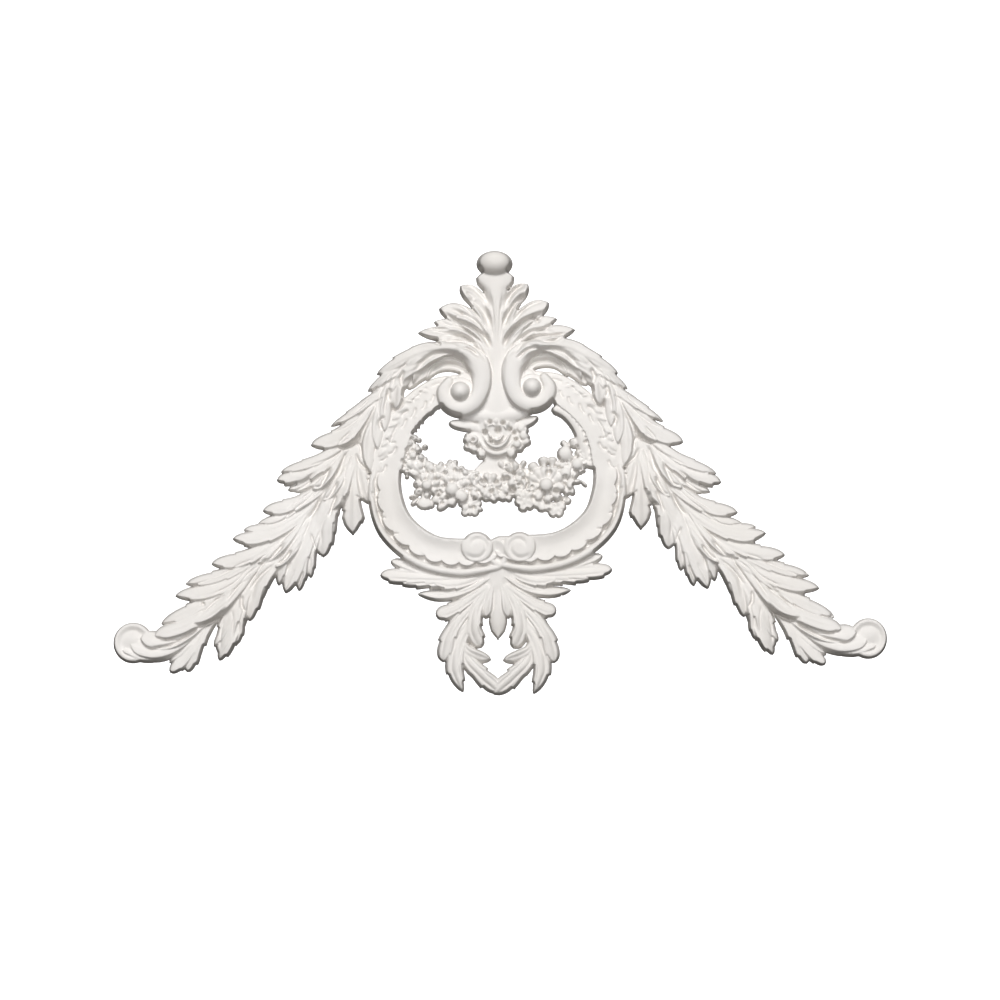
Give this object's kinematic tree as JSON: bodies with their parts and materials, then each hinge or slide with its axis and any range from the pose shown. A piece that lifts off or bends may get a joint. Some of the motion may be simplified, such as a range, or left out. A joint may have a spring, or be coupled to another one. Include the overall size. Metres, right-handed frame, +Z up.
{
  "type": "acanthus applique",
  "caption": "Cast acanthus relief applique with crest, C-scrolls, a cartouche ring with a flower swag, falling leaf sprays and a leaf pendant, fixed flat to a wall.",
  "frame": {"origin": "on the flat back face, on the centreline, behind the stem between the two upper volutes", "axes": "+X to the viewer's right along the width, +Z up, +Y into the wall; the carved front faces -Y and the flat back lies at y = 0"},
  "size_m": [0.8491, 0.042, 0.4905],
  "materials": {
    "primed_white": "matte white primer on rigid cast polyurethane, soft and slightly uneven"
  },
  "bodies": {
    "root": {"acanthus_applique": "primed_white"}
  },
  "joints": []
}
